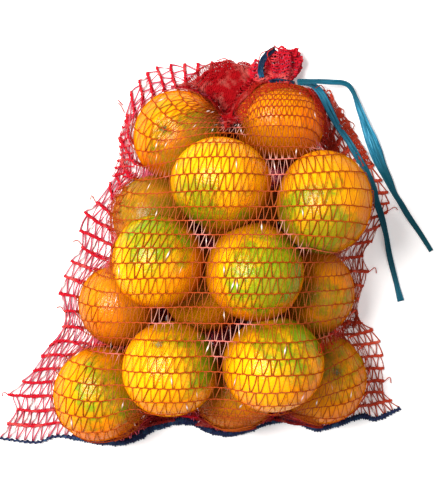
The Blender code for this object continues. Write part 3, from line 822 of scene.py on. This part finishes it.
def draped_heights(oranges, outline):
    """The height of the upper sheet and its two slopes, on a grid, with the grid's origin.

    The sheet starts on the fruit; every free cell settles to the mean of its four neighbours less a
    little for its weight, but never below the fruit. FLAP_REACH beyond the fruit it lies flat.
    """
    low, high = outline.min(0) - 12.0, outline.max(0) + 12.0
    x, y = np.meshgrid(np.arange(low[0], high[0], CELL), np.arange(low[1], high[1], CELL), indexing="ij")
    fruit = np.zeros(x.shape)
    gap = np.full(x.shape, 1e3)
    for fruit_item in oranges:
        (cx, cy, cz), r = fruit_item["middle"], fruit_item["radius"]
        away = np.hypot(x - cx, y - cy)
        skin = r + NET_CLEARANCE
        over = np.sqrt(np.maximum(skin**2 - away**2, 0.0))
        fruit = np.maximum(fruit, np.where(away < skin, cz + over, 0.0))
        gap = np.minimum(gap, away - skin)
    free = inside_outline(x, y, outline) & (gap < FLAP_REACH)
    height = fruit.copy()
    for _ in range(SETTLE_ROUNDS):
        mean = np.zeros(x.shape)
        mean[1:-1, 1:-1] = 0.25 * (
            height[2:, 1:-1] + height[:-2, 1:-1] + height[1:-1, 2:] + height[1:-1, :-2]
        )
        height = np.where(free, np.maximum(fruit, mean - CELL_WEIGHT), 0.0)
    height = np.maximum(height, FLAP_TOP)
    slope_x, slope_y = np.gradient(height, CELL)
    return np.dstack([height, slope_x, slope_y]), low


def evened(points, drape, rounds, fine_rows, fine_columns):
    """Shares the knots out over the draped sheet: a net of springs that slides on it.

    In each round every free knot moves towards its four neighbours, the more the longer that thread is
    for its place in the knitting, but only along the sheet. A drop counts for LIFT_SHARE of its
    height, as the threads stretch where they run down the sides of the fruit.
    """
    rest_u, rest_v = COLUMN_PITCH / fine_columns, ROW_PITCH / fine_rows
    row = np.arange(1, len(points) - 1)[:, None] / fine_rows
    for _ in range(rounds):
        read = heights_on(drape, points)
        height, slope = read[..., 0], read[..., 1:] * LIFT_SHARE
        place = np.dstack([points[..., :2], height * LIFT_SHARE])
        along_u, along_v = np.diff(place, axis=1), np.diff(place, axis=0)
        pull_u = np.linalg.norm(along_u, axis=2) / rest_u + 0.05
        pull_v = np.linalg.norm(along_v, axis=2) / rest_v + 0.05
        w_left, w_right = pull_u[1:-1, :-1, None], pull_u[1:-1, 1:, None]
        w_down, w_up = pull_v[:-1, 1:-1, None], pull_v[1:, 1:-1, None]
        force = (
            w_right * along_u[1:-1, 1:] - w_left * along_u[1:-1, :-1]
            + w_up * along_v[1:, 1:-1] - w_down * along_v[:-1, 1:-1]
        ) / (w_left + w_right + w_down + w_up)
        slope = slope[1:-1, 1:-1]
        steep = 1 + (slope**2).sum(axis=2, keepdims=True)
        lifted = force[..., 2:] - (force[..., :2] * slope).sum(axis=2, keepdims=True)
        move = 0.35 * (force[..., :2] + slope * lifted / steep)
        for x, reach, gathered_reach, first, heights in SPINES:
            last = first + len(heights) - 1
            held = SPINE_PULL * np.clip(row - first + 1, 0.0, 1.0) * np.clip(last + 1 - row, 0.0, 1.0)
            wanted = np.interp(row, np.arange(first, last + 1), heights)
            reach = np.where(row > GATHER_ROW, gathered_reach, reach)
            near = np.exp(-(((points[1:-1, 1:-1, 0] - x) / reach) ** 2))
            move[..., 1] += near * held * (wanted - points[1:-1, 1:-1, 1])
        points[1:-1, 1:-1, :2] += move
    points[1:-1, 1:-1, 2] = heights_on(drape, points)[1:-1, 1:-1, 0]
    return points


def heights_on(drape, plan):
    """The draped sheet's height and slopes at points in plan."""
    field, origin = drape
    return read_sheet(field, (plan[..., 0] - origin[0]) / CELL, (plan[..., 1] - origin[1]) / CELL)


def spread_along_rows(points, drape):
    """Moves the knots of each row to even distances over the draped sheet, drops counted as above."""
    for row in points:
        plan = spaced(row[:, :2], 400)
        lifted = np.column_stack([plan, heights_on(drape, plan)[:, 0] * LIFT_SHARE])
        row[:, :2] = spaced(lifted, len(row))[:, :2]
    return points


def clear_of_fruit(points, oranges, clearance=NET_CLEARANCE):
    """Moves points that have come too near an orange's peel straight out to the net's distance."""
    points = points.copy()
    for fruit in oranges:
        out = points - fruit["middle"]
        away = np.linalg.norm(out, axis=-1)
        close = away < fruit["radius"] * 1.12
        direction = out[close] / np.maximum(away[close], 1e-6)[:, None]
        least = peel_reach(direction @ fruit["axes"], fruit) + clearance
        points[close] = fruit["middle"] + direction * np.maximum(away[close], least)[:, None]
    return points


def finer(points, rows, columns):
    """The same sheet with rows times columns as many knots, straight between the old ones."""
    m, n = points.shape[:2]
    v = np.linspace(0, m - 1, (m - 1) * rows + 1)
    u = np.linspace(0, n - 1, (n - 1) * columns + 1)
    return read_sheet(points, *np.meshgrid(v, u, indexing="ij"))


def read_sheet(grid, v, u):
    """The grid's values at fractional rows v and columns u, straight between its knots."""
    i = np.clip(v, 0, grid.shape[0] - 1.0001)
    j = np.clip(u, 0, grid.shape[1] - 1.0001)
    i0, j0 = i.astype(int), j.astype(int)
    fi, fj = (i - i0)[..., None], (j - j0)[..., None]
    return (
        grid[i0, j0] * (1 - fi) * (1 - fj) + grid[i0 + 1, j0] * fi * (1 - fj)
        + grid[i0, j0 + 1] * (1 - fi) * fj + grid[i0 + 1, j0 + 1] * fi * fj
    )


def ruled(left, right, columns):
    """Points at even shares between the matching points of two lines."""
    u = np.linspace(0.0, 1.0, columns + 1)[None, :, None]
    return left[:, None] * (1 - u) + right[:, None] * u


def raised_to_neck(points, bands, power, sign):
    """Lifts the last bands of rows to the neck's oval, by a power of their share of the way."""
    rising = bands * FINE_ROWS
    share = np.linspace(0.0, 1.0, rising + 1)[:, None] ** power
    neck = neck_arc(points.shape[1], sign)[None, :, 2]
    points[-rising - 1 :, :, 2] = (1 - share) * points[-rising - 1 :, :, 2] + share * neck
    return points


def upper_sheet(oranges):
    """The sheet over the fruit, and the drape that it lies on."""
    plan = ruled(*side_folds(1), COLUMNS)
    points = held_edges(np.dstack([plan, np.zeros(plan.shape[:2])]), 1, 1)
    outline = np.vstack([points[:, 0], points[::-1, -1], points[0, ::-1]])[:, :2]
    drape = draped_heights(oranges, outline)
    for rounds in (500, 300):
        points = evened(spread_along_rows(points, drape), drape, rounds, 1, 1)
    points = held_edges(finer(points, FINE_ROWS, FINE_COLUMNS), FINE_ROWS, 1)
    points = evened(points, drape, 150, FINE_ROWS, FINE_COLUMNS)
    return clear_of_fruit(raised_to_neck(points, 4, 1.5, 1), oranges), drape


def lower_sheet(upper):
    """The sheet that the bag lies on: its rows and columns run all but straight below the upper ones."""
    plan = 0.88 * upper[..., :2] + 0.12 * ruled(*side_folds(FINE_ROWS), COLUMNS * FINE_COLUMNS)
    points = held_edges(np.dstack([plan, np.full(plan.shape[:2], 0.55)]), FINE_ROWS, -1)
    return raised_to_neck(points, 3, 2, -1)


def sheet_normals(points):
    """The direction square to a sheet at each knot, from its rows and its columns."""
    return unit(np.cross(np.gradient(points, axis=1), np.gradient(points, axis=0)))


def tautness(points):
    """0 in the loose flaps, rising to 1 in the body of the bag."""
    return np.clip((points[..., 2] - DRAWN_FROM) / DRAWN_OVER, 0, 1)


def over_fruit(points, oranges):
    """1 where the thread lies on an orange, less where it hangs above one, 0 over a gap."""
    flat = points.reshape(-1, 3)
    lit = np.zeros(len(flat))
    for fruit in oranges:
        away = np.linalg.norm(flat - fruit["middle"], axis=1) - fruit["radius"]
        aside = np.linalg.norm(flat[:, :2] - fruit["middle"][:2], axis=1) / fruit["radius"]
        lit = np.maximum(lit, np.clip(1 - (away - 2.5) / 3.0, 0, 1))
        lit = np.maximum(lit, 0.93 * np.clip((1.0 - aside) / 0.10, 0, 1))
    return lit.reshape(points.shape[:-1])


def knitted_rows(sheet, normals, oranges, rows, steps, name, finish, size=1.0):
    """The chains that run across the bag: along each row two strands wind round each other.

    A chain hangs in a small arc from column to column, is drawn thin in the body of the bag and is
    thick and loose in the flaps.
    """
    u = np.linspace(0, sheet.shape[1] - 1, (sheet.shape[1] - 1) // FINE_COLUMNS * steps + 1)
    v = np.array(rows, float) * FINE_ROWS
    vv, uu = np.meshgrid(v, u, indexing="ij")
    middle = read_sheet(sheet, vv, uu)
    up = unit(read_sheet(normals, vv, uu))
    along = unit(np.gradient(middle, axis=1))
    across = np.cross(up, along)
    taut = np.maximum(over_fruit(middle, oranges), tautness(middle))
    run = np.cumsum(np.linalg.norm(np.gradient(middle, axis=1), axis=2), axis=1)
    arc = -0.30 * np.abs(np.sin(np.pi * uu / FINE_COLUMNS))
    wander = (0.5 - 0.35 * taut) * np.sin(run / 6.0 + rng.uniform(0, 6.28, (len(v), 1)))
    middle = middle + across * (arc + wander)[..., None]
    wide = 0.76 - 0.56 * taut
    strands = []
    for start in (0.0, np.pi):
        angle = 2 * np.pi * run / 5.2 + start
        strands.append(middle + up * (0.30 + 0.22 * np.cos(angle))[..., None]
                       + across * (wide * np.sin(angle))[..., None])
    thick = size * np.tile(0.72 - 0.39 * taut, (2, 1))
    points, quads, _ = swept(np.concatenate(strands), np.concatenate([up, up]), thick, thick * 0.8)
    add_mesh(name, points, quads, finish, {"over_fruit": over_fruit(points, oranges)})


def zigzags(sheet, normals, oranges, name, finish, width, height, glints=(0.02, 0.24), gap_cover=None):
    """The flat threads between the chains: down and up once for each column.

    A thread leaves a chain LEG_SHARE of a leg beside the place where it came, so two legs open like a
    V with a short flat foot. glints are the shares of legs, on the fruit and off it, that are drawn wider
    with a white middle: painted highlights. The last argument, where given, is how many times wider a
    thread is at each knot; the lower sheet's threads widen in the valleys so that they hide the floor
    there, a sheet of painted shade.
    """
    bands = (sheet.shape[0] - 1) // FINE_ROWS
    legs = 2 * ((sheet.shape[1] - 1) // FINE_COLUMNS)
    band = np.arange(bands)[:, None, None]
    leg = np.arange(legs)[None, :, None]
    t = np.linspace(0.0, 1.0, 5)[None, None]
    shift = rng.uniform(-0.09, 0.09, (bands, legs + 1, 1))
    foot = LEG_SHARE * rng.uniform(0.7, 1.2, (bands, legs, 1))
    start = (leg + shift[:, :-1] + foot) / 2
    end = (leg + 1 + shift[:, 1:] - foot) / 2
    u = np.clip(start * (1 - t) + end * t, 0.0, legs / 2) * FINE_COLUMNS
    v = (band + np.where(leg % 2 == 0, t, 1 - t)) * FINE_ROWS
    bow = rng.normal(0, 0.04, (bands, legs, 1)) * np.sin(np.pi * t)
    u, v = (u + bow * FINE_COLUMNS).reshape(-1, 5), v.reshape(-1, 5)
    middle = read_sheet(sheet, v, u)
    up = unit(read_sheet(normals, v, u))
    lit = over_fruit(middle, oranges).max(axis=1, keepdims=True)
    swell = np.sin(np.pi * t.ravel())[None]
    middle = middle + up * height
    drawn = 1 - tautness(middle[:, 2:3]) * (0.57 - 0.18 * lit)
    wide = width * rng.uniform(0.7, 1.25, (len(u), 1)) * (1 - 0.2 * swell) * drawn
    if gap_cover is not None:
        wide = wide * read_sheet(gap_cover, v, u)[..., 0]
    # Painted highlight: a few legs get a white glint in their middle.
    bright = (rng.uniform(0, 1, (len(u), 1)) < glints[0] * lit + glints[1] * (1 - lit)) * swell**8
    wide = wide * (1 + 0.9 * bright)
    lean = rng.normal(0, 0.35, (len(u), 1, 1))
    along = unit(np.gradient(middle, axis=1))
    up = unit(up + np.cross(along, up) * lean)
    points, quads, _ = swept(middle, up, wide, 0.10)
    numbers = {"over_fruit": over_fruit(points, oranges), "bright": np.repeat(bright.ravel(), 4)}
    add_mesh(name, points, quads, finish, numbers, smooth=False)


def crumpled(sheet, size):
    """A copy of a sheet, shifted by a sum of a few random waves."""
    moved = sheet
    for wave in rng.normal(0, 0.17, (6, 3)):
        phase = sheet @ wave + rng.uniform(0, 6.28)
        moved = moved + rng.normal(0, size / 2, 3) * np.sin(phase)[..., None]
    return moved


def fan(drape, left, right, top, rows, columns, lift):
    """A gathered part of the net: a sheet on the drape between two lines, which may bulge at its top.

    Rows run from the left line to the right one at even shares of both; a row's y is raised by top
    times a sine hump across it, times the square of its share up the fan.
    """
    count = rows * FINE_ROWS + 1
    plan = ruled(smooth_curve(left, count), smooth_curve(right, count), columns * FINE_COLUMNS)
    u = np.linspace(0.0, 1.0, plan.shape[1])[None]
    share = np.linspace(0.0, 1.0, count)[:, None]
    plan[..., 1] += top * np.sin(np.pi * u**1.1) ** 1.8 * share**2
    return np.dstack([plan, heights_on(drape, plan)[..., 0] + lift])


def make_gathers(drape, oranges, gathered, hemmed, loose):
    """Where the net is drawn together it lies in several loose layers, each crumpled differently."""
    for name, (left, right, top, rows, columns, layers, size) in GATHERS.items():
        finish = {"hem": hemmed, "left": loose}.get(name.split("_")[0], gathered)
        for k in range(layers):
            edge = (1 - 0.11 * k) * np.array(left) + 0.11 * k * np.array(right)
            sheet = crumpled(fan(drape, edge, right, top, rows, columns, 0.6 + 0.9 * k), size)
            sheet = clear_of_fruit(sheet, oranges, NET_CLEARANCE + 0.3 + 0.4 * k)
            sheet[..., 2] = np.maximum(sheet[..., 2], 0.8)
            normals = sheet_normals(sheet)
            knitted_rows(sheet, normals, oranges, np.arange(rows + 1), 4, f"gather_{name}_rows_{k + 1}",
                         finish, 0.7)
            zigzags(sheet, normals, oranges, f"gather_{name}_zigzag_{k + 1}", finish, 0.40, 0.2,
                    (0.0, 0.003))


def ruffle(rings, columns, pleats, depth):
    """A closed sleeve of net round a line of ovals, its wall in pleats that deepen to its end.

    rings are x, y, z, half width and half height; between them all five change smoothly.
    """
    rows = smooth_curve(rings, FINE_ROWS * (len(rings) - 1) + 1)
    x, y, z, half_width, half_height = rows.T[..., None]
    share = np.linspace(0.0, 1.0, len(rows))[:, None]
    turn = np.linspace(0.0, 2 * np.pi, columns * FINE_COLUMNS + 1)[None]
    fold = 1 + depth * (0.3 + share) * np.sin(pleats * turn + 2.0 * share)
    fold = fold + 0.5 * depth * np.sin((pleats // 2) * turn + 5.0 * share + 1.0)
    drift = 1.6 * share * np.sin(3 * turn + 4.0 * share) + 1.2 * share * np.sin(7 * turn + 1.0)
    return np.stack([
        x - half_width * fold * np.cos(turn), y + drift,
        np.maximum(z + half_height * fold * np.sin(turn), 0.9),
    ], axis=-1)


def make_tuft(oranges, chain, thread):
    """The bag's mouth beyond the drawstring: a main ruffle, a second one inside it and a side lobe."""
    sleeves = (
        ("main", ((67, 133.5, 14, 9, 7), (67, 138, 13, 8.5, 7), (68, 143, 12, 11, 8.5),
                  (68.5, 148, 11.5, 12.5, 10), (69.5, 153, 11, 13, 9.5), (69.5, 157.5, 10, 12.5, 8.5),
                  (68.5, 162, 9, 9.5, 7)), 24, 7, 0.26),
        ("heart", ((67, 133.5, 14, 7, 5), (67, 139, 13, 6, 6), (68, 146, 12, 8, 7), (67, 153, 11, 8, 6),
                   (71, 161, 10, 6, 4)), 18, 5, 0.34),
        ("lobe", ((60, 134, 14, 4, 5), (55, 137.5, 13, 5, 6), (48.5, 142, 12, 6.0, 7),
                  (46, 147, 11, 6.0, 6.5), (47.5, 151.5, 10, 4, 4.5)), 14, 5, 0.30),
    )
    for name, rings, columns, pleats, depth in sleeves:
        sheet = ruffle(rings, columns, pleats, depth)
        share = np.linspace(0.0, 1.0, len(sheet))[:, None, None]
        for wave in rng.normal(0, 0.42, (6, 3)):
            push = share * rng.normal(0, 0.75, 3)
            sheet = sheet + push * np.sin(sheet @ wave + rng.uniform(0, 6.28))[..., None]
        sheet[..., 2] = np.maximum(sheet[..., 2], 0.9)
        sheet[:, -1] = sheet[:, 0]
        normals = sheet_normals(sheet)
        rows = np.arange(1, 2 * len(rings) - 1) / 2
        knitted_rows(sheet, normals, oranges, rows, 6, f"tuft_{name}_rows", chain)
        zigzags(sheet, normals, oranges, f"tuft_{name}_zigzag", thread, 0.5, 0.2, (0.0, 0.06))


def gap_cover_widths(sheet, top, oranges):
    """How many times wider the flat threads lie at each knot of the lower sheet: more in the valleys
    between the fruit, so that they hide the floor seen down the gaps as a sheet of painted shade, and
    not beneath an orange."""
    inner = np.clip((top[..., 2] - 30.0) / 25.0, 0, 1)
    under = np.zeros(inner.shape)
    for fruit in oranges[: len(LOWER_ORANGES)]:
        x, y = fruit["middle"][:2]
        away = np.hypot(sheet[..., 0] - x, sheet[..., 1] - y) / fruit["radius"]
        under = np.maximum(under, np.clip((0.85 - away) / 0.15, 0, 1))
    return 1 + GAP_COVER_WIDER * (inner * (1 - under))[..., None]


def make_net(oranges):
    """Every piece of the net: two sheets, the gathers, the folded end, the tuft and loose threads."""
    chain = net_material("net_chain_red", (0.50, 0.012, 0.028), (0.58, 0.07, 0.035), (0.66, 0.20, 0.17),
                         (0.38, 0.062, 0.008))
    thread = net_material("net_thread_red", (0.54, 0.085, 0.15), (0.50, 0.10, 0.06), (0.60, 0.34, 0.28),
                          (0.36, 0.076, 0.010))
    top, drape = upper_sheet(oranges)
    low = lower_sheet(top)
    every = range(1, ROWS + 1)
    up, down = sheet_normals(top), sheet_normals(low)
    knitted_rows(top, up, oranges, every, 6, "net_rows_upper", chain)
    knitted_rows(low, down, oranges, every, 4, "net_rows_lower", chain)
    zigzags(top, up, oranges, "net_zigzag_upper", thread, 0.62, 0.30)
    zigzags(low, down, oranges, "net_zigzag_lower", thread, 0.42, -0.15, (0.0, 0.0),
            gap_cover_widths(low, top, oranges))
    dense = net_material("net_gather_red", (0.34, 0.006, 0.010), (0.40, 0.045, 0.020), (0.26, 0.010, 0.008),
                         (0.40, 0.022, 0.012))
    hemmed = net_material("net_hem_red", (0.28, 0.020, 0.018), (0.28, 0.035, 0.016), (0.26, 0.010, 0.008),
                          (0.46, 0.105, 0.015))
    make_gathers(drape, oranges, dense, hemmed, chain)
    make_turned_edge(hemmed)
    make_tuft(oranges, chain, thread)
    make_loose_threads(chain)


def make_turned_edge(finish):
    """The net's end, folded in above the hem: a flat strip beside the seam, its width waving."""
    line = smooth_curve([point for point in HEM_LINE if TURNED_FROM < point[0] < TURNED_TO], 300)
    spine = np.column_stack([beside(line, TURNED_EDGE), np.full(len(line), 0.75)])
    run = np.arange(len(line))
    half = TURNED_EDGE * (1 + 0.05 * np.sin(run / 4.0) + 0.05 * np.sin(run / 1.7))
    points, quads, tris = swept(spine[None], UP, half[None], 0.5, 14)
    shades = {"over_fruit": np.zeros(len(points))}
    add_mesh("net_turned_edge", points, quads, finish, shades, tris=tris)


def make_loose_threads(finish):
    """Broken ends of thread that stand away from the folds, each along its own short curve."""
    lines = np.stack([smooth_curve(route, 12) for route in LOOSE_THREADS])
    lines = lines + rng.normal(0, 0.15, lines.shape) * UP
    points, quads, _ = swept(lines, UP, 0.40, 0.25)
    shades = {"over_fruit": np.tile(rng.uniform(0, 1, (len(lines), 1)), (1, 48))}
    add_mesh("net_loose_threads", points, quads, finish, shades)


# ---- hem and neck
def make_hem(finish):
    """The overlocked hem: a flattened core, and a thread wound round it in close uneven stitches."""
    count = 520
    line = smooth_curve(HEM_LINE, count)
    line = np.column_stack([line, np.full(count, 1.7)])
    run = distances(line)
    share = run / run[-1]
    half = np.interp(share, *zip(*HEM_HALF_WIDTHS))
    half = half * (1 + 0.12 * np.sin(run / 3.1) + 0.10 * np.sin(run / 1.3 + 2.0))
    core, quads, tris = swept(line[None], UP, half[None], 1.25, 8)
    add_mesh("hem_core", core, quads, finish, tris=tris, replaced="hem_seam")

    turns = np.cumsum(np.gradient(run) / np.interp(share, *zip(*STITCH_PITCHES)))
    steps = np.linspace(0.0, turns[-1], int(turns[-1] * 9))
    place = np.interp(steps, turns, run)
    at = points_at(line, run, place)
    across = unit(np.cross(unit(np.gradient(at, axis=0)), UP))
    width = np.interp(place, run, half) * (1.0 + 0.12 * np.sin(steps * 2.7) + 0.08 * np.sin(steps * 5.1))
    angle = 2 * np.pi * steps
    thread = at + across * ((width + 0.5) * np.cos(angle))[:, None] + UP * (1.35 * np.sin(angle))[:, None]
    thread[:, 2] = np.maximum(thread[:, 2], 0.5)
    stitches, quads, _ = swept(thread[None], unit(thread - at)[None], 0.62, 0.5, lowest=0.05)
    add_mesh("hem_stitches", stitches, quads, finish, replaced="hem_seam")


def make_wrap(finish):
    """The drawstring's turns round the neck: one flat tape along a short oval helix."""
    angle = np.linspace(0.0, WRAP_TURNS * 2 * np.pi, 220) + 0.4
    share = np.linspace(0.0, 1.0, len(angle))
    grow = 1 + 0.06 * np.sin(3.1 * angle)
    along = WRAP_START + WRAP_RISE * share + 0.5 * np.sin(2.3 * angle)
    across, up = WRAP_HALF_WIDTH * grow * np.cos(angle), WRAP_HALF_HEIGHT * grow * np.sin(angle)
    turned = np.stack([across, np.zeros(len(angle)), up], axis=1)
    middle = np.stack([np.full(len(angle), NECK[0]), along, np.full(len(angle), NECK[2])], axis=1)
    points, quads, _ = swept((middle + turned)[None], unit(turned)[None], 1.0, 0.35)
    # painted light and shade that changes round the wrap
    openness = 0.25 + 0.25 * np.repeat(np.sin(5 * angle), 4)
    corners = np.tile([0.2, 0.4, 0.7, 0.9], 2 * len(quads))
    add_tape("neck_wrap", points, quads, finish, openness, "drawstring_wrap", corners)


# ---- build
make_view()
teal = tape_material("tape_teal", (0.002, 0.062, 0.088), (0.005, 0.155, 0.29), (0.12, 0.55, 0.78))
# Painted shade: the loop and the wrap are the teal drawstring, drawn in a darker copy of its tape as it
# lies in shade.
navy = tape_material("tape_teal_shaded", (0.003, 0.008, 0.030), (0.006, 0.06, 0.15), (0.05, 0.28, 0.46))
make_tails(teal)
make_loop(navy)
make_wrap(navy)
make_light()
make_floor()
oranges = settled()
lower_count = len(LOWER_ORANGES)
peel = peel_material()
make_oranges("oranges_lower", oranges[:lower_count], oranges, peel)
make_oranges("oranges_upper", oranges[lower_count:], oranges, peel)
make_stem_stars(oranges, stem_material())
make_net(oranges)
make_hem(hem_material())
